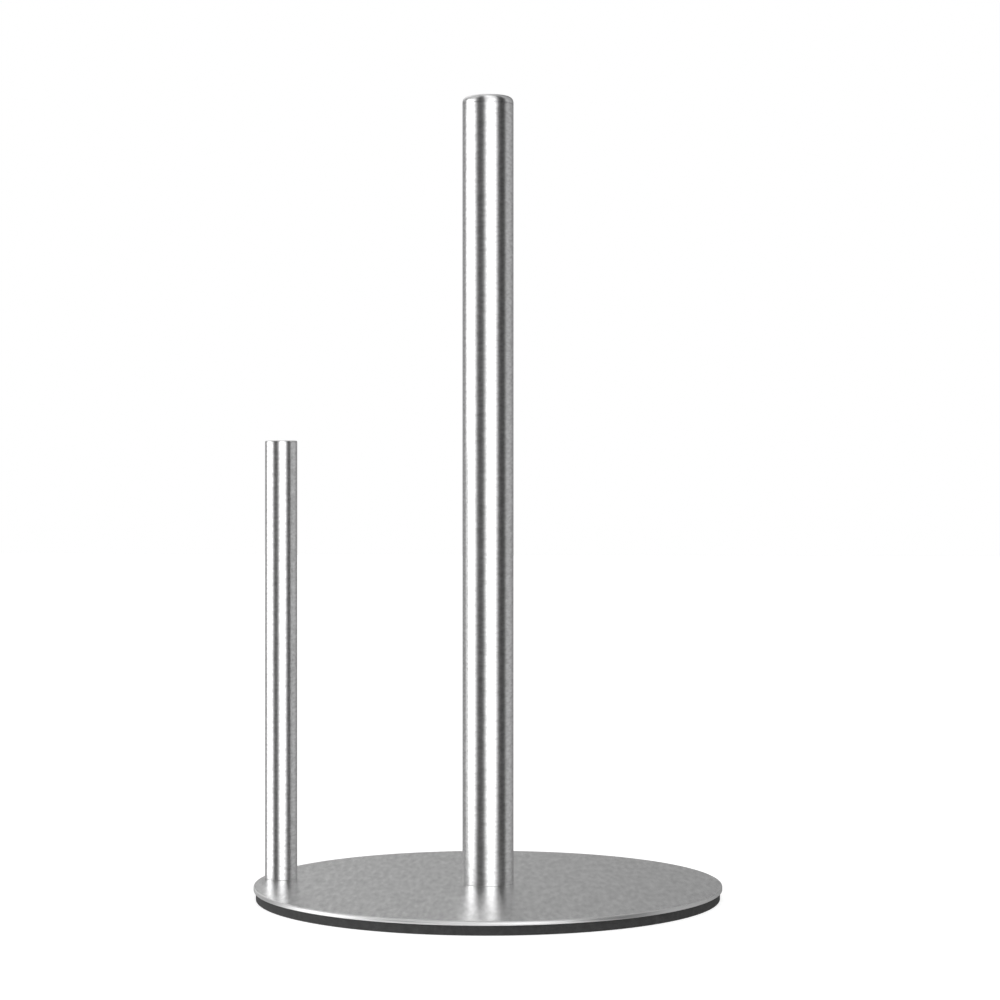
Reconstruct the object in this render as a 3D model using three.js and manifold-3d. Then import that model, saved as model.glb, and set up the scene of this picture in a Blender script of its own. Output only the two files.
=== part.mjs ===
// Paper towel holder: a thin round steel base on a rubber mat, a tall middle post that carries
// the roll, and a short thin post near the rim that the loose sheet is torn against. Each post
// is a tube, closed at the top by a cap and held at the foot by a screw from beneath the base.
//
// Millimetres, +Z up. The origin is on the floor, under the middle of the base, and the short
// post stands at -X.

import * as THREE from 'three';
import { mergeVertices } from 'three/addons/utils/BufferGeometryUtils.js';
import Module from 'manifold-3d';

const wasm = await Module();
wasm.setup();

// ---- Driving dimensions ---------------------------------------------------------------------

const BASE_RADIUS = 91.5;
const BASE_THICKNESS = 1.6;
const BASE_TOP_EDGE = 0.4; // radius of the softened top edge
const BASE_UNDER_EDGE = 0.2; // chamfer round the underside

const MAT_THICKNESS = 3.5;
const MAT_INSET = 0.9; // how far the mat's side is inside the base's rim
const MAT_UNDER_EDGE = 0.3; // chamfer round the mat's underside
const ADHESIVE_THICKNESS = 0.2;
const ADHESIVE_INSET = 0.4; // how far the film stays inside the mat's side

const THREAD_GAP = 0.1; // radial gap between a screw's shank and its insert
const PRESS_GAP = 0.05; // radial gap between a tube's bore and what is pressed into it
const PLUG_CHAMFER = 0.4; // lead-in chamfer on inserts and cap spigots
const SCREW_TIP_CHAMFER = 0.5;

// Where a lock washer's tooth starts and ends, as shares of the pitch from tooth to tooth.
const TOOTH_ROOT = { start: 0.4, end: 1.04 };
const TOOTH_TIP = { start: 0.5, end: 0.94 };

const SCREW_M6 = {
  shankRadius: 3, length: 16, headRadius: 6, headHeight: 1.5, headEdge: 0.5,
  holeRadius: 3.3, recessReach: 2.2, recessWidth: 1.2, recessDepth: 1.4,
  washerRadius: 9, washerThickness: 1,
  lockRadius: 5.5, lockThickness: 0.6, lockRingWidth: 1.3, lockTeeth: 8,
};
const SCREW_M4 = {
  shankRadius: 2, length: 12, headRadius: 4, headHeight: 1.3, headEdge: 0.4,
  holeRadius: 2.25, recessReach: 1.6, recessWidth: 0.9, recessDepth: 1.2,
  washerRadius: 4.5, washerThickness: 0.8,
  lockRadius: 3.9, lockThickness: 0.5, lockRingWidth: 1, lockTeeth: 8,
};

const POSTS = [
  {
    name: 'main_post', x: 0, radius: 10, wall: 1, topZ: 313.2, topEdge: 2.2,
    capCrown: 3, capSpigot: 8, insertLength: 16, pocketRadius: 10.5, screw: SCREW_M6,
  },
  {
    name: 'side_post', x: -83, radius: 6.35, wall: 0.8, topZ: 178.8, topEdge: 0.5,
    capCrown: 1.5, capSpigot: 6, insertLength: 12, pocketRadius: 5.2, screw: SCREW_M4,
  },
];

// Faces round a full turn, and steps in a quarter-circle edge.
const BASE_SEGMENTS = 128;
const POST_SEGMENTS = 64;
const SCREW_SEGMENTS = 48;
const EDGE_STEPS = 5;

// Heights that follow from the stack: mat, film, base.
const MAT_RADIUS = BASE_RADIUS - MAT_INSET;
const BASE_UNDERSIDE_Z = MAT_THICKNESS + ADHESIVE_THICKNESS;
const BASE_TOP_Z = BASE_UNDERSIDE_Z + BASE_THICKNESS;

// ---- Materials ------------------------------------------------------------------------------

const metal = (color, roughness) => new THREE.MeshStandardMaterial({ color, roughness, metalness: 1 });
const soft = (color, roughness) => new THREE.MeshStandardMaterial({ color, roughness, metalness: 0 });

const satinSteel = () => metal(0xb4b4b5, 0.3);
const turnedSteel = () => metal(0x9c9c9c, 0.4);
const zincPlate = () => metal(0xc2c3c6, 0.35);
const springSteel = () => metal(0x8d8d8b, 0.4);
const rubber = () => soft(0x3c3c3d, 0.9);
const film = () => soft(0xcfc9b8, 0.6);

// ---- Shapes ---------------------------------------------------------------------------------

// A closed solid from a three.js geometry: shared corners are merged, and the faces that shrink
// to nothing on a turned shape's axis are dropped.
function solid(geometry) {
  geometry.deleteAttribute('normal');
  geometry.deleteAttribute('uv');
  const merged = mergeVertices(geometry);
  const corners = merged.index.array;
  const faces = [];
  for (let i = 0; i < corners.length; i += 3) {
    const [a, b, c] = corners.slice(i, i + 3);
    if (a !== b && b !== c && c !== a) faces.push(a, b, c);
  }
  return new wasm.Manifold(new wasm.Mesh({
    numProp: 3,
    vertProperties: new Float32Array(merged.attributes.position.array),
    triVerts: new Uint32Array(faces),
  }));
}

// Turns an outline of [radius, height] points round the Z axis. The outline is given upwards
// along its outer side.
function turned(outline, segments) {
  const points = outline.map(([radius, height]) => new THREE.Vector2(radius, height));
  return solid(new THREE.LatheGeometry(points, segments).rotateX(Math.PI / 2));
}

// Points of a quarter circle that rounds a top edge: from the side, up and in to the top.
function roundedTopEdge(radius, top, edge) {
  return Array.from({ length: EDGE_STEPS + 1 }, (_, step) => {
    const angle = (step / EDGE_STEPS) * (Math.PI / 2);
    return [radius - edge + edge * Math.cos(angle), top - edge + edge * Math.sin(angle)];
  });
}

// A plain round cutter that runs through a plate from below zero to above its thickness.
function throughCutter(radius, x, thickness, segments) {
  const margin = 1;
  const cylinder = new THREE.CylinderGeometry(radius, radius, thickness + 2 * margin, segments);
  return solid(cylinder.rotateX(Math.PI / 2).translate(x, 0, thickness / 2));
}

// Cuts one round hole or pocket for each post through a disc that starts at height zero.
function cutForPosts(disc, thickness, radiusOf, segments) {
  return POSTS.reduce(
    (rest, post) => rest.subtract(throughCutter(radiusOf(post), post.x, thickness, segments)),
    disc,
  );
}

function piece(name, shape, material, z) {
  const { vertProperties, triVerts } = shape.getMesh();
  const geometry = new THREE.BufferGeometry();
  geometry.setAttribute('position', new THREE.BufferAttribute(vertProperties, 3));
  geometry.setIndex(new THREE.BufferAttribute(triVerts, 1));
  const mesh = new THREE.Mesh(geometry, material);
  mesh.name = name;
  mesh.position.z = z;
  return mesh;
}

// ---- Base -----------------------------------------------------------------------------------

// The steel disc, with a clearance hole for each post's screw.
function basePlate() {
  const disc = turned([
    [0, 0],
    [BASE_RADIUS - BASE_UNDER_EDGE, 0],
    [BASE_RADIUS, BASE_UNDER_EDGE],
    ...roundedTopEdge(BASE_RADIUS, BASE_THICKNESS, BASE_TOP_EDGE),
    [0, BASE_THICKNESS],
  ], BASE_SEGMENTS);
  return cutForPosts(disc, BASE_THICKNESS, (post) => post.screw.holeRadius, SCREW_SEGMENTS);
}

// The mat under the base. A pocket goes right through it round each screw head, so that the
// heads sit above the floor.
function baseMat() {
  const disc = turned([
    [0, 0],
    [MAT_RADIUS - MAT_UNDER_EDGE, 0],
    [MAT_RADIUS, MAT_UNDER_EDGE],
    [MAT_RADIUS, MAT_THICKNESS],
    [0, MAT_THICKNESS],
  ], BASE_SEGMENTS);
  return cutForPosts(disc, MAT_THICKNESS, (post) => post.pocketRadius, POST_SEGMENTS);
}

// The film that bonds the mat to the base, with the same pockets.
function matAdhesive() {
  const radius = MAT_RADIUS - ADHESIVE_INSET;
  const disc = turned(
    [[0, 0], [radius, 0], [radius, ADHESIVE_THICKNESS], [0, ADHESIVE_THICKNESS]],
    BASE_SEGMENTS,
  );
  return cutForPosts(disc, ADHESIVE_THICKNESS, (post) => post.pocketRadius, POST_SEGMENTS);
}

// ---- Posts ----------------------------------------------------------------------------------

// A plain tube, from the base's top to the underside of the cap's crown.
function postTube(post) {
  const bore = post.radius - post.wall;
  const length = post.topZ - post.capCrown - BASE_TOP_Z;
  return turned(
    [[bore, 0], [post.radius, 0], [post.radius, length], [bore, length], [bore, 0]],
    POST_SEGMENTS,
  );
}

// The cap: a crown as wide as the tube, with a rounded edge, on a spigot pressed into the bore.
// Height zero is the crown's underside, which rests on the tube's end.
function postCap(post) {
  const spigot = post.radius - post.wall - PRESS_GAP;
  return turned([
    [0, -post.capSpigot],
    [spigot - PLUG_CHAMFER, -post.capSpigot],
    [spigot, -post.capSpigot + PLUG_CHAMFER],
    [spigot, 0],
    [post.radius, 0],
    ...roundedTopEdge(post.radius, post.capCrown, post.topEdge),
    [0, post.capCrown],
  ], POST_SEGMENTS);
}

// The plug in the tube's foot, with the screw's hole right through it. It rests on the base.
function postInsert(post) {
  const outer = post.radius - post.wall - PRESS_GAP;
  const hole = post.screw.shankRadius + THREAD_GAP;
  return turned([
    [hole, 0],
    [outer, 0],
    [outer, post.insertLength - PLUG_CHAMFER],
    [outer - PLUG_CHAMFER, post.insertLength],
    [hole, post.insertLength],
    [hole, 0],
  ], POST_SEGMENTS);
}

// A low-head screw with a cross recess. Height zero is the head's bearing face, the shank
// points up and the head hangs below.
function postScrew({ screw }) {
  const { shankRadius, length, headRadius, headHeight, headEdge } = screw;
  const body = turned([
    [0, -headHeight],
    [headRadius - headEdge, -headHeight],
    [headRadius, -headHeight + headEdge],
    [headRadius, 0],
    [shankRadius, 0],
    [shankRadius, length - SCREW_TIP_CHAMFER],
    [shankRadius - SCREW_TIP_CHAMFER, length],
    [0, length],
  ], SCREW_SEGMENTS);
  const { recessReach, recessWidth, recessDepth } = screw;
  const slot = (sizeX, sizeY) => solid(
    new THREE.BoxGeometry(sizeX, sizeY, 2 * recessDepth).translate(0, 0, -headHeight),
  );
  return body
    .subtract(slot(2 * recessReach, recessWidth))
    .subtract(slot(recessWidth, 2 * recessReach));
}

function plainWasher({ screw }) {
  const hole = screw.holeRadius;
  const { washerRadius: outer, washerThickness: thickness } = screw;
  return turned(
    [[hole, 0], [outer, 0], [outer, thickness], [hole, thickness], [hole, 0]],
    SCREW_SEGMENTS,
  );
}

// A thin washer whose hole is ringed by teeth that point inwards.
function lockWasher({ screw }) {
  const { lockRadius, lockRingWidth, lockThickness, lockTeeth, holeRadius } = screw;
  const root = lockRadius - lockRingWidth;
  const pitch = (2 * Math.PI) / lockTeeth;
  const corners = [
    [root, TOOTH_ROOT.start], [holeRadius, TOOTH_TIP.start],
    [holeRadius, TOOTH_TIP.end], [root, TOOTH_ROOT.end],
  ];
  const toothed = Array.from({ length: lockTeeth }, (_, tooth) => corners.map(([radius, share]) => {
    const angle = (tooth + share) * pitch;
    return new THREE.Vector2(radius * Math.cos(angle), radius * Math.sin(angle));
  })).flat();
  const outline = new THREE.Shape().absarc(0, 0, lockRadius, 0, 2 * Math.PI, false);
  outline.holes.push(new THREE.Path(toothed));
  return solid(new THREE.ExtrudeGeometry(outline, {
    depth: lockThickness, bevelEnabled: false, curveSegments: SCREW_SEGMENTS / 2, // per half turn
  }));
}

// One post with everything that closes it and holds it to the base.
function postGroup(post) {
  const { name, screw } = post;
  const washerZ = BASE_UNDERSIDE_Z - screw.washerThickness;
  const lockZ = washerZ - screw.lockThickness;
  const group = new THREE.Group();
  group.position.x = post.x;
  group.add(
    piece(`${name}_tube`, postTube(post), satinSteel(), BASE_TOP_Z),
    piece(`${name}_cap`, postCap(post), satinSteel(), post.topZ - post.capCrown),
    piece(`${name}_insert`, postInsert(post), turnedSteel(), BASE_TOP_Z),
    piece(`${name}_screw`, postScrew(post), zincPlate(), lockZ),
    piece(`${name}_washer`, plainWasher(post), zincPlate(), washerZ),
    piece(`${name}_lock_washer`, lockWasher(post), springSteel(), lockZ),
  );
  return group;
}

// ---- Assembly -------------------------------------------------------------------------------

const holder = new THREE.Group();
holder.add(
  piece('base_plate', basePlate(), satinSteel(), BASE_UNDERSIDE_Z),
  piece('base_mat', baseMat(), rubber(), 0),
  piece('mat_adhesive', matAdhesive(), film(), MAT_THICKNESS),
  ...POSTS.map(postGroup),
);

export default holder;
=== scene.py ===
"""Looks for the paper towel holder: two satin steel posts on a brushed steel disc with a
rubber mat, standing in a plain white studio. Metres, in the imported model's own frame.

Every CAD node is replaced by a finer mesh of the same size in the same place. Each post's pieces
have their origin on the post's own axis, where the materials take their place from."""

import math
from collections import namedtuple

import bmesh
import bpy
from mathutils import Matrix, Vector


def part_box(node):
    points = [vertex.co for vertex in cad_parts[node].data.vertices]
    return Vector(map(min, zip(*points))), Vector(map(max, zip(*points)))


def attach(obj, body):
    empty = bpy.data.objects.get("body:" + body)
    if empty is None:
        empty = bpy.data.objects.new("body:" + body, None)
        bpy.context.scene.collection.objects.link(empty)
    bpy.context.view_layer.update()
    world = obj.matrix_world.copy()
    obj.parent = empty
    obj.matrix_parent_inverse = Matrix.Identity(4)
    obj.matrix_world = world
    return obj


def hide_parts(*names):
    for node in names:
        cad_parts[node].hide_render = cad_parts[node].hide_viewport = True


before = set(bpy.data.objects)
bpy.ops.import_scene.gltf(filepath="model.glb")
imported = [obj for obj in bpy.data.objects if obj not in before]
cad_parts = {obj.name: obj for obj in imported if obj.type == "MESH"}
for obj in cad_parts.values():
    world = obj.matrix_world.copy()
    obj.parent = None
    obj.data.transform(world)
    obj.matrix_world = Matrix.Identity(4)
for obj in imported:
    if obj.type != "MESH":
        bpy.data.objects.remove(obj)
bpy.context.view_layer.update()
MM = 0.001


# ---- Camera ---------------------------------------------------------------------------------

CAMERA_BEARING = math.radians(8.45)  # round from -Y towards +X, so the side post stands farther
CAMERA_DISTANCE = 0.997
CAMERA_ASIDE = 0.0047
CAMERA_HEIGHT = 0.1553
CAMERA_LENS = 91.59
SENSOR_WIDTH = 36

TOWARDS_CAMERA = Vector((math.sin(CAMERA_BEARING), -math.cos(CAMERA_BEARING), 0))
CAMERA_RIGHT = Vector((math.cos(CAMERA_BEARING), math.sin(CAMERA_BEARING), 0))


def make_camera():
    """A level camera, looking straight across the holder."""
    lens = bpy.data.cameras.new("camera")
    lens.lens = CAMERA_LENS
    lens.sensor_width = SENSOR_WIDTH
    camera = bpy.data.objects.new("camera", lens)
    ground = TOWARDS_CAMERA * CAMERA_DISTANCE + CAMERA_RIGHT * CAMERA_ASIDE
    camera.location = ground + Vector((0, 0, CAMERA_HEIGHT))
    camera.rotation_euler = (math.pi / 2, 0, CAMERA_BEARING)
    bpy.context.scene.collection.objects.link(camera)
    bpy.context.scene.camera = camera


# ---- Node trees -----------------------------------------------------------------------------


class Graph:
    """A node tree that starts empty. add() makes a node, with its settings and its inputs, and
    an input is either a value or the output that feeds it."""

    def __init__(self, tree):
        self.tree = tree
        tree.nodes.clear()

    def add(self, kind, inputs=None, **settings):
        node = self.tree.nodes.new("ShaderNode" + kind)
        for name, value in settings.items():
            setattr(node, name, value)
        for key, value in (inputs or {}).items():
            if isinstance(value, bpy.types.NodeSocket):
                self.tree.links.new(value, node.inputs[key])
            else:
                node.inputs[key].default_value = value
        return node

    def math(self, operation, *values):
        return self.add("Math", dict(enumerate(values)), operation=operation).outputs[0]

    def dot(self, vector, other):
        node = self.add("VectorMath", {0: vector, 1: other}, operation="DOT_PRODUCT")
        return node.outputs["Value"]

    def remap(self, value, low, high, new_low=0.0, new_high=1.0, smooth=False):
        """value's stretch from low to high, as new_low to new_high, and level beyond both."""
        kind = "SMOOTHSTEP" if smooth else "LINEAR"
        inputs = {"Value": value, 1: low, 2: high, 3: new_low, 4: new_high}
        return self.add("MapRange", inputs, interpolation_type=kind).outputs[0]

    def mix(self, factor, low, high):
        """A mix of two colours."""
        node = self.add("Mix", {0: factor, 6: low, 7: high}, data_type="RGBA")
        return node.outputs[2]

    def mix_values(self, factor, low, high):
        return self.add("Mix", {0: factor, 2: low, 3: high}, data_type="FLOAT").outputs[0]

    def height_of(self, vector):
        return self.add("SeparateXYZ", {0: vector}).outputs["Z"]

    def distance_from_axis(self, place):
        flat = self.stretched(place, 1, 1, 0)
        return self.add("VectorMath", {0: flat}, operation="LENGTH").outputs["Value"]

    def noise(self, vector, size, detail=2.0):
        """Noise from 0 to 1 whose blotches are about size metres across."""
        inputs = {"Vector": vector, "Scale": 1 / size, "Detail": detail}
        return self.add("TexNoise", inputs).outputs[0]

    def stretched(self, vector, x, y, z):
        return self.add("Mapping", {"Vector": vector, "Scale": (x, y, z)}).outputs[0]

    def bump(self, height, depth, normal=None):
        """Surface relief, where depth is the height in metres of a rise from 0 to 1."""
        inputs = {"Height": height, "Distance": depth}
        if normal:
            inputs["Normal"] = normal
        return self.add("Bump", inputs).outputs[0]


def grey(value, tint=(1.0, 1.0, 1.0)):
    return (value * tint[0], value * tint[1], value * tint[2], 1.0)


# ---- Studio ---------------------------------------------------------------------------------

# Brightness round the studio's walls, by bearing in degrees from the camera, positive to its
# right: a softbox on the left, another beside the camera, and a grey wall behind.
DARK_WALL = 0.05
GREY_WALL = 0.36
SOFTBOX_EDGE = 2.1
SOFTBOX = 3.0
STUDIO_WALLS = (
    (-180, GREY_WALL), (-172, 0.45), (-150, 0.53), (-138, 0.40), (-120, 0.38),
    (-108, SOFTBOX_EDGE), (-96, SOFTBOX), (-78, SOFTBOX), (-65, SOFTBOX_EDGE), (-49, DARK_WALL),
    (-18, DARK_WALL), (-3, SOFTBOX_EDGE), (8, SOFTBOX), (22, SOFTBOX), (32, SOFTBOX_EDGE),
    (48, DARK_WALL), (80, DARK_WALL), (93, 0.68), (125, 0.57), (171, 0.26), (180, GREY_WALL),
)


def elevation(degrees):
    """How high a direction that many degrees above the horizon reaches, on a unit sphere."""
    return math.sin(math.radians(degrees))


# The softboxes' upper halves are brighter, by this share of what they exceed BRIGHT_FROM.
UPPER_HALF_FROM, UPPER_HALF_FULL = 0.0, elevation(5)
UPPER_HALF_GAIN = 0.6
BRIGHT_FROM = 1.0
# The softboxes are low: from the first two heights up, the walls are never brighter than
# MIDDLE_LIMIT, and from the next two up, never brighter than HIGH_LIMIT.
MIDDLE_FROM, MIDDLE_FULL = elevation(11), elevation(16)
MIDDLE_LIMIT = 0.72
HIGH_FROM, HIGH_FULL = elevation(24), elevation(34)
HIGH_LIMIT = 0.85
CEILING = 1.05
CEILING_FROM, CEILING_FULL = elevation(63), elevation(80)
# Round softboxes over the holder, one behind it to the left and one in front, which light the
# upper edges: bearing and height in degrees, and brightness.
OVERHEADS = ((-160, 38, 1.6), (12, 52, 1.7))
OVERHEAD_CORE, OVERHEAD_EDGE = math.cos(math.radians(14)), math.cos(math.radians(28))
BACKDROP = 1.0

FLOOR_SIZE = 12.0
FLOOR_GLOW = 0.72
FLOOR_ALBEDO = 0.55


def towards(bearing, height):
    """The direction at a bearing and a height, both in degrees."""
    turn, rise = math.radians(bearing), math.radians(height)
    level = TOWARDS_CAMERA * math.cos(turn) + CAMERA_RIGHT * math.sin(turn)
    return level * math.cos(rise) + Vector((0, 0, math.sin(rise)))


def wall_brightness(graph, direction):
    """How bright the walls are in a direction, from its bearing alone."""
    aside = graph.dot(direction, CAMERA_RIGHT)
    ahead = graph.dot(direction, TOWARDS_CAMERA)
    bearing = graph.math("ARCTAN2", aside, ahead)
    walls = graph.add("ValToRGB", {0: graph.remap(bearing, -math.pi, math.pi)})
    ramp = walls.color_ramp.elements
    ramp.remove(ramp[-1])
    ramp[0].color = grey(STUDIO_WALLS[0][1])
    for degrees, tone in STUDIO_WALLS[1:]:
        ramp.new((degrees + 180) / 360).color = grey(tone)
    return graph.add("SeparateXYZ", {0: walls.outputs[0]}).outputs["X"]


def light_studio():
    """The world lights and mirrors in the holder, and is plain white where the camera sees it."""
    world = bpy.data.worlds.new("studio")
    world.use_nodes = True
    bpy.context.scene.world = world
    graph = Graph(world.node_tree)
    direction = graph.add("TexCoord").outputs["Generated"]
    height = graph.height_of(direction)
    walls = wall_brightness(graph, direction)
    extra = graph.math("MAXIMUM", graph.math("SUBTRACT", walls, BRIGHT_FROM), 0.0)
    gain = graph.remap(height, UPPER_HALF_FROM, UPPER_HALF_FULL, 0, UPPER_HALF_GAIN, smooth=True)
    walls = graph.math("MULTIPLY_ADD", extra, gain, walls)
    limit = graph.remap(height, HIGH_FROM, HIGH_FULL, MIDDLE_LIMIT, HIGH_LIMIT)
    limited = graph.math("MINIMUM", walls, limit)
    above = graph.remap(height, MIDDLE_FROM, MIDDLE_FULL, smooth=True)
    walls = graph.mix_values(above, walls, limited)
    upward = graph.remap(height, CEILING_FROM, CEILING_FULL, smooth=True)
    studio = graph.mix(upward, walls, grey(CEILING))
    for degrees, rise, tone in OVERHEADS:
        nearness = graph.dot(direction, towards(degrees, rise))
        lit = graph.remap(nearness, OVERHEAD_EDGE, OVERHEAD_CORE, smooth=True)
        studio = graph.mix(lit, studio, grey(tone))
    seen = graph.add("LightPath").outputs["Is Camera Ray"]
    colour = graph.mix(seen, studio, grey(BACKDROP))
    background = graph.add("Background", {"Color": colour})
    graph.add("OutputWorld", {"Surface": background.outputs[0]})


def make_floor():
    """A plain pale floor with the holder's soft shadow, seen only from above."""
    mesh = bpy.data.meshes.new("floor")
    bm = bmesh.new()
    bmesh.ops.create_grid(bm, x_segments=2, y_segments=2, size=FLOOR_SIZE / 2)
    bm.to_mesh(mesh)
    bm.free()
    material = bpy.data.materials.new("floor_paper")
    material.use_nodes = True
    graph = Graph(material.node_tree)
    paper = graph.add("BsdfDiffuse", {"Color": grey(FLOOR_ALBEDO)})
    glow = graph.add("Emission", {"Color": grey(1.0), "Strength": FLOOR_GLOW})
    front = graph.add("AddShader", {0: paper.outputs[0], 1: glow.outputs[0]})
    back = graph.add("BsdfTransparent")
    from_below = graph.add("NewGeometry").outputs["Backfacing"]
    sides = {0: from_below, 1: front.outputs[0], 2: back.outputs[0]}
    graph.add("OutputMaterial", {"Surface": graph.add("MixShader", sides).outputs[0]})
    mesh.materials.append(material)
    floor = bpy.data.objects.new("floor", mesh)
    bpy.context.scene.collection.objects.link(floor)
    floor.visible_glossy = False
    floor.visible_diffuse = False
    floor.visible_shadow = False


# ---- Materials ------------------------------------------------------------------------------

BRUSHING = math.radians(8.5)  # how far the base's strokes turn from the Y axis
MOTTLE = 0.2  # how far the posts' tone strays from its mean, as a share of it
RIM_FROM, RIM_FULL = 0.6 * MM, 0.2 * MM  # where the rim's darker band begins and is whole, from the edge; its darker tone is painted shade
# The rim band's darker tone is painted shade on the plate's edge.
RIM_PAINTED_SHADE = 0.56
RIM_ROUGHNESS = 0.43
RIM_METALLIC = 0.8


def new_material(name):
    material = bpy.data.materials.new(name)
    material.use_nodes = True
    return material, Graph(material.node_tree)


def finish_material(graph, inputs):
    shader = graph.add("BsdfPrincipled", inputs)
    graph.add("OutputMaterial", {"Surface": shader.outputs[0]})


def satin_post_steel(post):
    """Belt-polished tube: fine scratches round the post, over a faint mottling."""
    material, graph = new_material(post.name + "_steel")
    place = graph.add("TexCoord").outputs["Object"]
    mottle = graph.noise(graph.stretched(place, 1, 1, 2.2), 2.2 * MM, detail=1.5)
    scratches = graph.noise(graph.stretched(place, 1, 1, 22), 3.5 * MM, detail=2)
    dark = grey((1 - MOTTLE) * post.shine)
    light = grey((1 + MOTTLE) * post.shine, (1, 1, 1.005))
    colour = graph.mix(graph.remap(mottle, 0.25, 0.75), dark, light)
    relief = graph.bump(mottle, 0.010 * MM)
    relief = graph.bump(scratches, 0.003 * MM, relief)
    finish_material(graph, {
        "Base Color": colour,
        "Metallic": 1.0,
        "Roughness": graph.remap(scratches, 0.3, 0.7, post.roughness, post.roughness + 0.04),
        "Anisotropic": 0.5,
        "Anisotropic Rotation": 0.25,
        "Tangent": graph.add("Tangent", direction_type="RADIAL", axis="Z").outputs[0],
        "Specular Tint": grey(0.75),
        "Normal": relief,
    })
    return material


def brushed_base_steel(radius):
    """Sheet brushed in short strokes from front to back, with a darker, rougher band round the
    rim's edge whose darker tone is painted shade.
    """
    material, graph = new_material("brushed_base_steel")
    place = graph.add("TexCoord").outputs["Object"]
    along = graph.add("Mapping", {"Vector": place, "Rotation": (0, 0, -BRUSHING)}).outputs[0]
    strokes = graph.noise(graph.stretched(along, 1, 0.22, 1), 1.9 * MM, detail=1.5)
    hairlines = graph.noise(graph.stretched(along, 1, 0.05, 1), 0.35 * MM, detail=2)
    from_axis = graph.distance_from_axis(place)
    rim = graph.remap(from_axis, radius - RIM_FROM, radius - RIM_FULL, smooth=True)
    face = graph.mix(graph.remap(strokes, 0.25, 0.75), grey(0.65), grey(1.0))
    face = graph.mix(graph.remap(hairlines, 0.3, 0.7, 0, 0.15), face, grey(0.72))
    face_roughness = graph.remap(hairlines, 0.3, 0.7, 0.22, 0.26)
    finish_material(graph, {
        # the rim band is painted darker: painted shade on the plate's edge
        "Base Color": graph.mix(rim, face, grey(RIM_PAINTED_SHADE)),
        "Metallic": graph.remap(rim, 0, 1, 1.0, RIM_METALLIC),
        "Roughness": graph.mix_values(rim, face_roughness, RIM_ROUGHNESS),
        "Anisotropic": 0.85,
        "Tangent": graph.add("Tangent", direction_type="RADIAL", axis="Y").outputs[0],
        "Normal": graph.bump(hairlines, 0.001 * MM),
    })
    return material


def turned_steel():
    """Lathe-turned plug: fine rings on its side and its ends."""
    material, graph = new_material("turned_steel")
    place = graph.add("TexCoord").outputs["Object"]
    track_inputs = {0: graph.distance_from_axis(place), 1: graph.height_of(place)}
    track = graph.add("CombineXYZ", track_inputs).outputs[0]
    rings = graph.noise(track, 0.12 * MM, detail=2)
    finish_material(graph, {
        "Base Color": graph.mix(rings, grey(0.42), grey(0.55)),
        "Metallic": 1.0,
        "Roughness": graph.remap(rings, 0.3, 0.7, 0.3, 0.42),
        "Normal": graph.bump(rings, 0.004 * MM),
    })
    return material


def zinc_plate():
    """Bright zinc: slightly blue, with cloudy patches and small handling marks."""
    material, graph = new_material("zinc_plate")
    place = graph.add("TexCoord").outputs["Object"]
    cloud = graph.noise(place, 2.5 * MM, detail=3)
    marks = graph.noise(graph.stretched(place, 1, 6, 1), 0.6 * MM, detail=2)
    finish_material(graph, {
        "Base Color": graph.mix(cloud, (0.60, 0.61, 0.64, 1), (0.70, 0.705, 0.715, 1)),
        "Metallic": 1.0,
        "Roughness": graph.remap(marks, 0.35, 0.65, 0.24, 0.38),
        "Normal": graph.bump(marks, 0.003 * MM),
    })
    return material


def spring_steel():
    """Hardened washer steel: darker, with a faint heat tint and a dull grain."""
    material, graph = new_material("spring_steel")
    place = graph.add("TexCoord").outputs["Object"]
    tint = graph.noise(place, 1.8 * MM, detail=2)
    grain = graph.noise(place, 0.15 * MM, detail=2)
    finish_material(graph, {
        "Base Color": graph.mix(tint, (0.31, 0.31, 0.32, 1), (0.42, 0.40, 0.37, 1)),
        "Metallic": 1.0,
        "Roughness": graph.remap(grain, 0.3, 0.7, 0.36, 0.5),
        "Normal": graph.bump(grain, 0.003 * MM),
    })
    return material


def mat_rubber():
    """Charcoal foam rubber: matt, with fine open pores and a soft unevenness; the pores' centres
    are painted darker as painted shade.
    """
    material, graph = new_material("mat_rubber")
    place = graph.add("TexCoord").outputs["Object"]
    uneven = graph.noise(place, 2.2 * MM, detail=3)
    cells = graph.add("TexVoronoi", {"Vector": place, "Scale": 1 / (0.45 * MM)})
    pore_relief_and_shade = graph.remap(cells.outputs["Distance"], 0.05, 0.5, smooth=True)
    colour = graph.mix(graph.remap(uneven, 0.3, 0.7), grey(0.021), grey(0.042, (1, 1, 1.01)))
    # painted shade: the pores' centres are darker than the rubber
    colour = graph.mix(pore_relief_and_shade, grey(0.017), colour)
    finish_material(graph, {
        "Base Color": colour,
        "Roughness": graph.remap(uneven, 0.3, 0.7, 0.78, 0.92),
        "Specular IOR Level": 0.35,
        "Normal": graph.bump(pore_relief_and_shade, 0.05 * MM),
    })
    return material


def adhesive_film():
    """Cream double-sided film, with faint fibres."""
    material, graph = new_material("adhesive_film")
    place = graph.add("TexCoord").outputs["Object"]
    fibres = graph.noise(graph.stretched(place, 1, 8, 1), 3 * MM, detail=3)
    finish_material(graph, {
        "Base Color": graph.mix(fibres, (0.55, 0.52, 0.44, 1), (0.68, 0.65, 0.56, 1)),
        "Roughness": graph.remap(fibres, 0.3, 0.7, 0.5, 0.65),
        "Normal": graph.bump(fibres, 0.01 * MM),
    })
    return material


# ---- Mesh building --------------------------------------------------------------------------

FILLET_STEPS = 8
DISC_SEGMENTS = 384
POST_SEGMENTS = 160
SMALL_SEGMENTS = 96
SHARP_ANGLE = math.radians(35)
GUARD = 1.5  # how far a fillet's outermost points lie from its corner, in lengths of its reach
ON_AXIS = 1e-9


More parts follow.
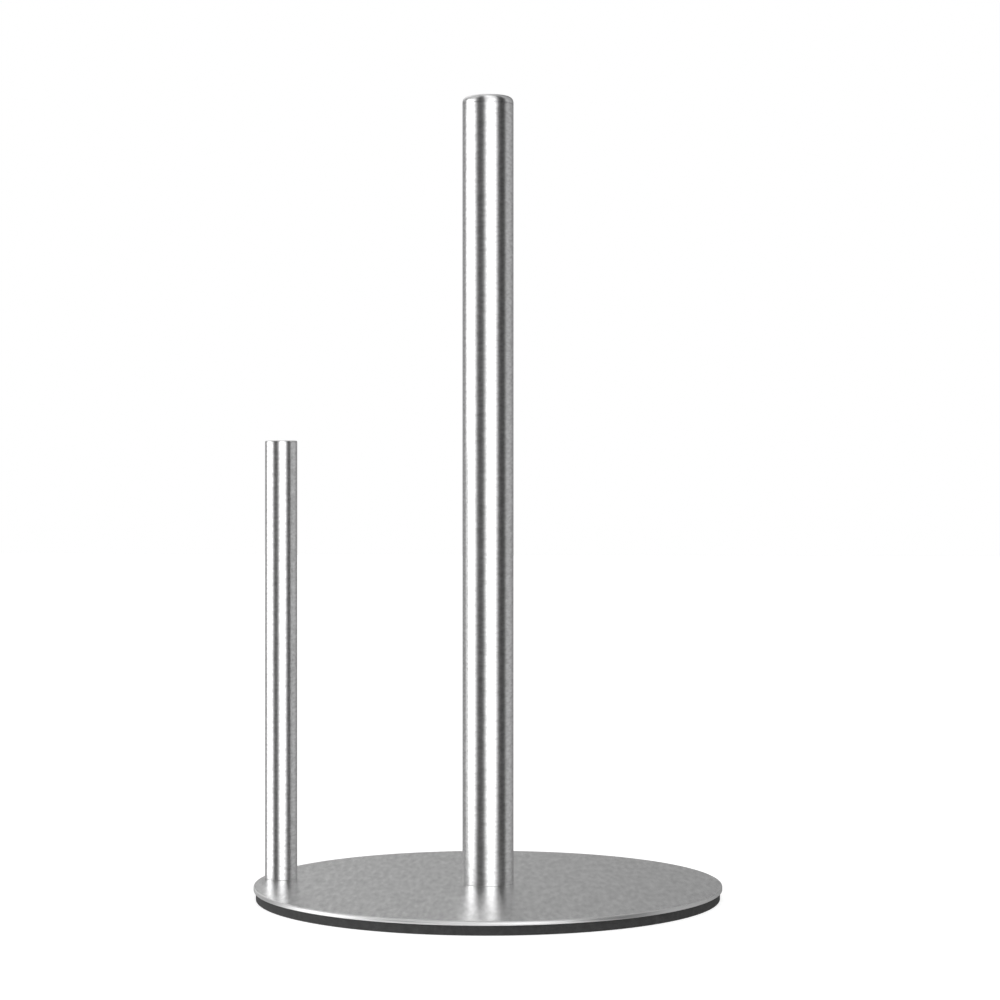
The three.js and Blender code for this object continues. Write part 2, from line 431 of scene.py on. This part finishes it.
def arc_corner(corner, back, on, radius):
    """A rounded corner of an outline, with one more point on each side that keeps the flat
    stretches beyond it flat-shaded. back and on point along the outline, away from it."""
    half = back.angle(on) / 2
    reach = radius / math.tan(half)
    centre = corner + (back + on).normalized() * (radius / math.sin(half))
    start = corner + back * reach - centre
    end = corner + on * reach - centre
    first = math.atan2(start.y, start.x)
    sweep = math.remainder(math.atan2(end.y, end.x) - first, 2 * math.pi)
    angles = [first + sweep * step / FILLET_STEPS for step in range(FILLET_STEPS + 1)]
    arc = [centre + radius * Vector((math.cos(angle), math.sin(angle))) for angle in angles]
    return [corner + back * reach * GUARD, *arc, corner + on * reach * GUARD]


def outline(*corners):
    """Points of an outline from its (radius, height, fillet) corners. A fillet of 0 is a plain
    point."""
    places = [Vector(corner[:2]) for corner in corners]
    points = []
    for index, corner in enumerate(places):
        fillet = corners[index][2]
        if fillet:
            back = (places[index - 1] - corner).normalized()
            on = (places[(index + 1) % len(places)] - corner).normalized()
            points += arc_corner(corner, back, on, fillet)
        else:
            points.append(corner)
    return points


def add_ring(bm, radius, height, segments, centre=(0, 0)):
    """A ring of vertices. radius may be a function of the angle, and on the axis the ring is
    one vertex."""
    if not callable(radius) and radius < ON_AXIS:
        return [bm.verts.new((centre[0], centre[1], height))] * segments
    ring = []
    for index in range(segments):
        angle = 2 * math.pi * index / segments
        reach = radius(angle) if callable(radius) else radius
        x = centre[0] + reach * math.cos(angle)
        y = centre[1] + reach * math.sin(angle)
        ring.append(bm.verts.new((x, y, height)))
    return ring


def skin(bm, rings, closed=False):
    """Faces between each ring and the next, and from the last to the first if closed."""
    following = rings[1:] + rings[:1] if closed else rings[1:]
    for lower, upper in zip(rings, following):
        count = len(lower)
        for index in range(count):
            after = (index + 1) % count
            corners = (lower[index], lower[after], upper[after], upper[index])
            bm.faces.new(dict.fromkeys(corners))


def weave(bm, columns):
    """Faces between neighbouring open columns of vertices."""
    for left, right in zip(columns, columns[1:]):
        for row in range(len(left) - 1):
            bm.faces.new((left[row], left[row + 1], right[row + 1], right[row]))


def turned(points, segments, closed=False):
    """A solid of revolution. An open outline starts and ends on the axis."""
    bm = bmesh.new()
    skin(bm, [add_ring(bm, point.x, point.y, segments) for point in points], closed)
    return bm


def fill_between(bm, loops):
    """A flat face that spans the first loop and leaves the others as holes."""
    edges = [
        bm.edges.get((loop[index - 1], loop[index])) for loop in loops for index in range(len(loop))
    ]
    bmesh.ops.triangle_fill(bm, edges=edges, use_beauty=True, use_dissolve=False)


Hole = namedtuple("Hole", "x radius edge segments")


def pierced_disc(radius, low, high, low_edge, high_edge, holes):
    """A round sheet with rounded rims and a rounded hole for each of holes."""
    rim = outline((0, low, 0), (radius, low, low_edge), (radius, high, high_edge), (0, high, 0))
    bm = bmesh.new()
    walls = [[add_ring(bm, point.x, point.y, DISC_SEGMENTS) for point in rim[1:-1]]]
    for hole in holes:
        side = outline(
            (2 * hole.radius, low, 0), (hole.radius, low, hole.edge),
            (hole.radius, high, hole.edge), (2 * hole.radius, high, 0),
        )
        centre = (hole.x, 0)
        walls.append(
            [add_ring(bm, point.x, point.y, hole.segments, centre) for point in side[1:-1]]
        )
    for rings in walls:
        skin(bm, rings)
    fill_between(bm, [rings[0] for rings in walls])
    fill_between(bm, [rings[-1] for rings in walls])
    return bm


def make_object(name, bm, x=0.0):
    """An object from bm, smooth but for its sharp edges, standing at x."""
    bmesh.ops.recalc_face_normals(bm, faces=bm.faces)
    mesh = bpy.data.meshes.new(name)
    bm.to_mesh(mesh)
    bm.free()
    mesh.polygons.foreach_set("use_smooth", [True] * len(mesh.polygons))
    mesh.set_sharp_from_angle(angle=SHARP_ANGLE)
    piece = bpy.data.objects.new(name, mesh)
    piece.location = (x, 0, 0)
    bpy.context.scene.collection.objects.link(piece)
    return piece


def stand_for(piece, node, material):
    """Gives a finished piece its material and puts it in its CAD node's place."""
    piece.data.materials.append(material)
    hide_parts(node)
    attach(piece, "root")


# ---- What the frame says --------------------------------------------------------------------

Round = namedtuple("Round", "x radius low high")


def round_node(node):
    """Where a round CAD node stands: its axis, outer radius, and lowest and highest points."""
    low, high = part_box(node)
    return Round((low.x + high.x) / 2, (high.y - low.y) / 2, low.z, high.z)


# What a node's box doesn't say, in millimetres.
Screw = namedtuple("Screw", "shank pitch head_edge hole recess_reach recess_width recess_depth")
M6 = Screw(3.0, 1.0, 0.5, 3.3, 2.2, 1.2, 1.4)
M4 = Screw(2.0, 0.7, 0.4, 2.25, 1.6, 0.9, 1.2)

Post = namedtuple("Post", "name wall top_edge crown pocket screw roughness shine")
POSTS = (
    Post(
        "main_post", wall=1.0, top_edge=2.2, crown=3.0, pocket=10.5, screw=M6,
        roughness=0.28, shine=0.62,
    ),
    Post(
        "side_post", wall=0.8, top_edge=0.5, crown=1.5, pocket=5.2, screw=M4,
        roughness=0.31, shine=0.63,
    ),
)

PLATE_TOP_EDGE = 0.4 * MM
PLATE_UNDER_EDGE = 0.2 * MM
HOLE_EDGE = 0.15 * MM
MAT_EDGE = 0.3 * MM
FILM_EDGE = 0.04 * MM
BORE_EDGE = 0.12 * MM
PRESS_GAP = 0.05 * MM
PLUG_EDGE = 0.4 * MM
THREAD_GAP = 0.06 * MM
THREAD_DEPTH = 0.54  # of the pitch
THREAD_CREST = 0.25  # how much wider than its flanks a thread's crests and roots are cut
RINGS_PER_PITCH = 10
PLUG_MOUTH = 0.4  # how far the countersunk mouth of a plug reaches past its thread
SCREW_NECK = 1.0 * MM  # the plain stretch between a screw's head and its thread
SCREW_TIP = 0.5 * MM  # how far the screw's tip is chamfered inside the thread's root
RECESS_PROUD = 0.2 * MM  # how far the cutter stands out of the head
RECESS_LIP = 1.04  # and its width there
# A cross recess gets narrower inwards: share of its depth, and of its width.
RECESS_TAPER = ((0, 1.0), (0.55, 0.8), (1, 0.62))
WASHER_EDGE = 0.12 * MM


# ---- Base -----------------------------------------------------------------------------------


def post_holes(radius_of, edge, segments):
    """One hole under each post. radius_of gives its radius in millimetres."""
    return [
        Hole(round_node(post.name + "_tube").x, radius_of(post) * MM, edge, segments)
        for post in POSTS
    ]


def make_base():
    plate = round_node("base_plate")
    holes = post_holes(lambda post: post.screw.hole, HOLE_EDGE, SMALL_SEGMENTS)
    bm = pierced_disc(
        plate.radius, plate.low, plate.high, PLATE_UNDER_EDGE, PLATE_TOP_EDGE, holes
    )
    stand_for(make_object("steel_disc", bm), "base_plate", brushed_base_steel(plate.radius))


def make_mat():
    mat = round_node("base_mat")
    holes = post_holes(lambda post: post.pocket, MAT_EDGE, POST_SEGMENTS)
    bm = pierced_disc(mat.radius, mat.low, mat.high, MAT_EDGE, MAT_EDGE / 2, holes)
    stand_for(make_object("rubber_mat", bm), "base_mat", mat_rubber())


def make_film():
    film = round_node("mat_adhesive")
    holes = post_holes(lambda post: post.pocket, FILM_EDGE, POST_SEGMENTS)
    bm = pierced_disc(film.radius, film.low, film.high, FILM_EDGE, FILM_EDGE, holes)
    stand_for(make_object("mat_film", bm), "mat_adhesive", adhesive_film())


# ---- Posts ----------------------------------------------------------------------------------


def make_tube(post, steel):
    tube = round_node(post.name + "_tube")
    bore = tube.radius - post.wall * MM
    wall = outline(
        (bore, tube.low, BORE_EDGE), (tube.radius, tube.low, BORE_EDGE),
        (tube.radius, tube.high, 0), (bore, tube.high, BORE_EDGE),
    )
    piece = make_object(post.name + "_pipe", turned(wall, POST_SEGMENTS, closed=True), tube.x)
    stand_for(piece, post.name + "_tube", steel)


def make_cap(post, steel):
    """A crown as wide as the tube, on a spigot pressed into the bore."""
    cap = round_node(post.name + "_cap")
    seam = cap.high - post.crown * MM
    spigot = cap.radius - post.wall * MM - PRESS_GAP
    shape = outline(
        (0, cap.low, 0), (spigot, cap.low, PLUG_EDGE), (spigot, seam, 0),
        (cap.radius, seam, 0), (cap.radius, cap.high, post.top_edge * MM), (0, cap.high, 0),
    )
    piece = make_object(post.name + "_crown", turned(shape, POST_SEGMENTS), cap.x)
    stand_for(piece, post.name + "_cap", steel)


def thread_radius(screw, height, angle):
    """The radius of a screw's thread at a height and an angle: flat crests and flat roots."""
    turn = (height / (screw.pitch * MM) - angle / (2 * math.pi)) % 1
    slope = abs(2 * turn - 1)
    share = min(max((1 + 2 * THREAD_CREST) * slope - THREAD_CREST, 0), 1)
    depth = THREAD_DEPTH * screw.pitch * MM
    return screw.shank * MM - depth * (1 - share)


def thread_heights(screw, low, high):
    count = max(2, round((high - low) / (screw.pitch * MM) * RINGS_PER_PITCH))
    return [low + (high - low) * step / count for step in range(count + 1)]


def make_insert(post, steel):
    """The threaded plug in a tube's foot. Its thread follows the screw's, a little outside it."""
    plug = round_node(post.name + "_insert")
    screw = post.screw
    mouth = (screw.shank + PLUG_MOUTH) * MM

    def bore_at(height):
        into = min(height - plug.low, plug.high - height)
        return lambda angle: max(thread_radius(screw, height, angle) + THREAD_GAP, mouth - into)

    bm = bmesh.new()
    rings = [
        add_ring(bm, bore_at(height), height, SMALL_SEGMENTS)
        for height in thread_heights(screw, plug.low, plug.high)
    ]
    side = outline(
        (mouth, plug.high, 0), (plug.radius, plug.high, PLUG_EDGE),
        (plug.radius, plug.low, WASHER_EDGE), (mouth, plug.low, 0),
    )
    rings += [add_ring(bm, point.x, point.y, SMALL_SEGMENTS) for point in side[1:-1]]
    skin(bm, rings, closed=True)
    piece = make_object(post.name + "_plug", bm, plug.x)
    stand_for(piece, post.name + "_insert", steel)


def cross_cutter(screw, face):
    """A tapered cross that reaches up into a screw head from its face."""
    levels = [(face - RECESS_PROUD, RECESS_LIP)]
    for depth, scale in RECESS_TAPER:
        levels.append((face + depth * screw.recess_depth * MM, scale))
    bm = bmesh.new()
    loops = []
    for height, scale in levels:
        reach = screw.recess_reach * MM * scale
        half = screw.recess_width * MM / 2 * scale
        quarter = ((reach, -half), (reach, half), (half, half))
        loop = []
        for turn in range(4):
            cos, sin = math.cos(turn * math.pi / 2), math.sin(turn * math.pi / 2)
            for x, y in quarter:
                loop.append(bm.verts.new((x * cos - y * sin, x * sin + y * cos, height)))
        loops.append(loop)
    skin(bm, loops)
    bm.faces.new(loops[0])
    bm.faces.new(loops[-1])
    return bm


def cut_away(piece, cutter):
    """Subtracts cutter from piece for good, and removes it."""
    cut = piece.modifiers.new("cut", "BOOLEAN")
    cut.operation = "DIFFERENCE"
    cut.solver = "EXACT"
    cut.object = cutter
    bpy.context.view_layer.update()
    depsgraph = bpy.context.evaluated_depsgraph_get()
    mesh = bpy.data.meshes.new_from_object(piece.evaluated_get(depsgraph))
    piece.modifiers.clear()
    piece.data = mesh
    bpy.data.objects.remove(cutter)
    mesh.set_sharp_from_angle(angle=SHARP_ANGLE)


def make_screw(post, zinc):
    """A low-head screw with a cross recess, head down, its thread up in the plug."""
    size = round_node(post.name + "_screw")
    lock = round_node(post.name + "_lock_washer")
    screw = post.screw
    seat = lock.low
    neck = seat + SCREW_NECK
    root = screw.shank * MM - THREAD_DEPTH * screw.pitch * MM
    head = outline(
        (0, size.low, 0), (size.radius, size.low, screw.head_edge * MM),
        (size.radius, seat, WASHER_EDGE), (root, seat, 0),
    )

    def thread_at(height):
        tip = root - SCREW_TIP + (size.high - height)
        start = root + (height - neck)
        return lambda angle: min(thread_radius(screw, height, angle), tip, max(start, root))

    bm = bmesh.new()
    rings = [add_ring(bm, point.x, point.y, SMALL_SEGMENTS) for point in head]
    rings += [
        add_ring(bm, thread_at(height), height, SMALL_SEGMENTS)
        for height in thread_heights(screw, neck, size.high)
    ]
    rings.append(add_ring(bm, 0, size.high, SMALL_SEGMENTS))
    skin(bm, rings)
    piece = make_object(post.name + "_bolt", bm, size.x)
    cut_away(piece, make_object("cutter", cross_cutter(screw, size.low), size.x))
    stand_for(piece, post.name + "_screw", zinc)


def make_flat_washer(post, zinc):
    ring = round_node(post.name + "_washer")
    hole = post.screw.hole * MM
    section = outline(
        (hole, ring.low, WASHER_EDGE), (ring.radius, ring.low, WASHER_EDGE),
        (ring.radius, ring.high, WASHER_EDGE), (hole, ring.high, WASHER_EDGE),
    )
    bm = turned(section, SMALL_SEGMENTS, closed=True)
    piece = make_object(post.name + "_flat_ring", bm, ring.x)
    stand_for(piece, post.name + "_washer", zinc)


LOCK_TEETH = 8
TOOTH_COLUMNS = 12  # columns of the mesh from one tooth to the next
TOOTH_FIRST, TOOTH_LAST = 5, 11
TOOTH_ROWS = 4
LOCK_SHEET = 0.6  # the sheet's thickness, as a share of the height that the twisted teeth take up
LOCK_RING = 0.22  # the solid ring's width, as a share of the washer's radius


def make_lock_washer(post, steel):
    """A thin washer with teeth pointing inwards, each twisted out of the sheet."""
    ring = round_node(post.name + "_lock_washer")
    hole = post.screw.hole * MM
    root = ring.radius * (1 - LOCK_RING)
    thickness = (ring.high - ring.low) * LOCK_SHEET
    twist = (ring.high - ring.low - thickness) / 2
    middle = (ring.low + ring.high) / 2
    columns = LOCK_TEETH * TOOTH_COLUMNS
    bm = bmesh.new()

    def column(index, radii, lift):
        angle = 2 * math.pi * index / columns
        cos, sin = math.cos(angle), math.sin(angle)
        steps = len(radii) - 1
        return [
            bm.verts.new((radius * cos, radius * sin, middle + lift * step / steps))
            for step, radius in enumerate(radii)
        ]

    band = (root, (root + ring.radius) / 2, ring.radius)
    flat = [column(index, band, 0) for index in range(columns)]
    weave(bm, flat + flat[:1])
    tooth_radii = [root + (hole - root) * row / TOOTH_ROWS for row in range(TOOTH_ROWS + 1)]
    for tooth in range(LOCK_TEETH):
        blade = []
        for offset in range(TOOTH_FIRST, TOOTH_LAST + 1):
            share = 2 * (offset - TOOTH_FIRST) / (TOOTH_LAST - TOOTH_FIRST) - 1
            index = (tooth * TOOTH_COLUMNS + offset) % columns
            inner = column(index, tooth_radii, twist * share)
            bm.verts.remove(inner[0])
            blade.append([flat[index][0], *inner[1:]])
        weave(bm, blade)
    bmesh.ops.recalc_face_normals(bm, faces=bm.faces)
    bmesh.ops.solidify(bm, geom=bm.faces[:], thickness=thickness)
    lowest = min(vertex.co.z for vertex in bm.verts)
    bmesh.ops.translate(bm, verts=bm.verts, vec=(0, 0, ring.low - lowest))
    piece = make_object(post.name + "_tooth_ring", bm, ring.x)
    stand_for(piece, post.name + "_lock_washer", steel)


# ---- Assembly -------------------------------------------------------------------------------

bpy.context.scene.view_settings.view_transform = "Standard"
make_camera()
light_studio()
make_floor()
make_base()
make_mat()
make_film()
plug_steel = turned_steel()
zinc = zinc_plate()
washer_steel = spring_steel()
for post in POSTS:
    post_steel = satin_post_steel(post)
    make_tube(post, post_steel)
    make_cap(post, post_steel)
    make_insert(post, plug_steel)
    make_screw(post, zinc)
    make_flat_washer(post, zinc)
    make_lock_washer(post, washer_steel)
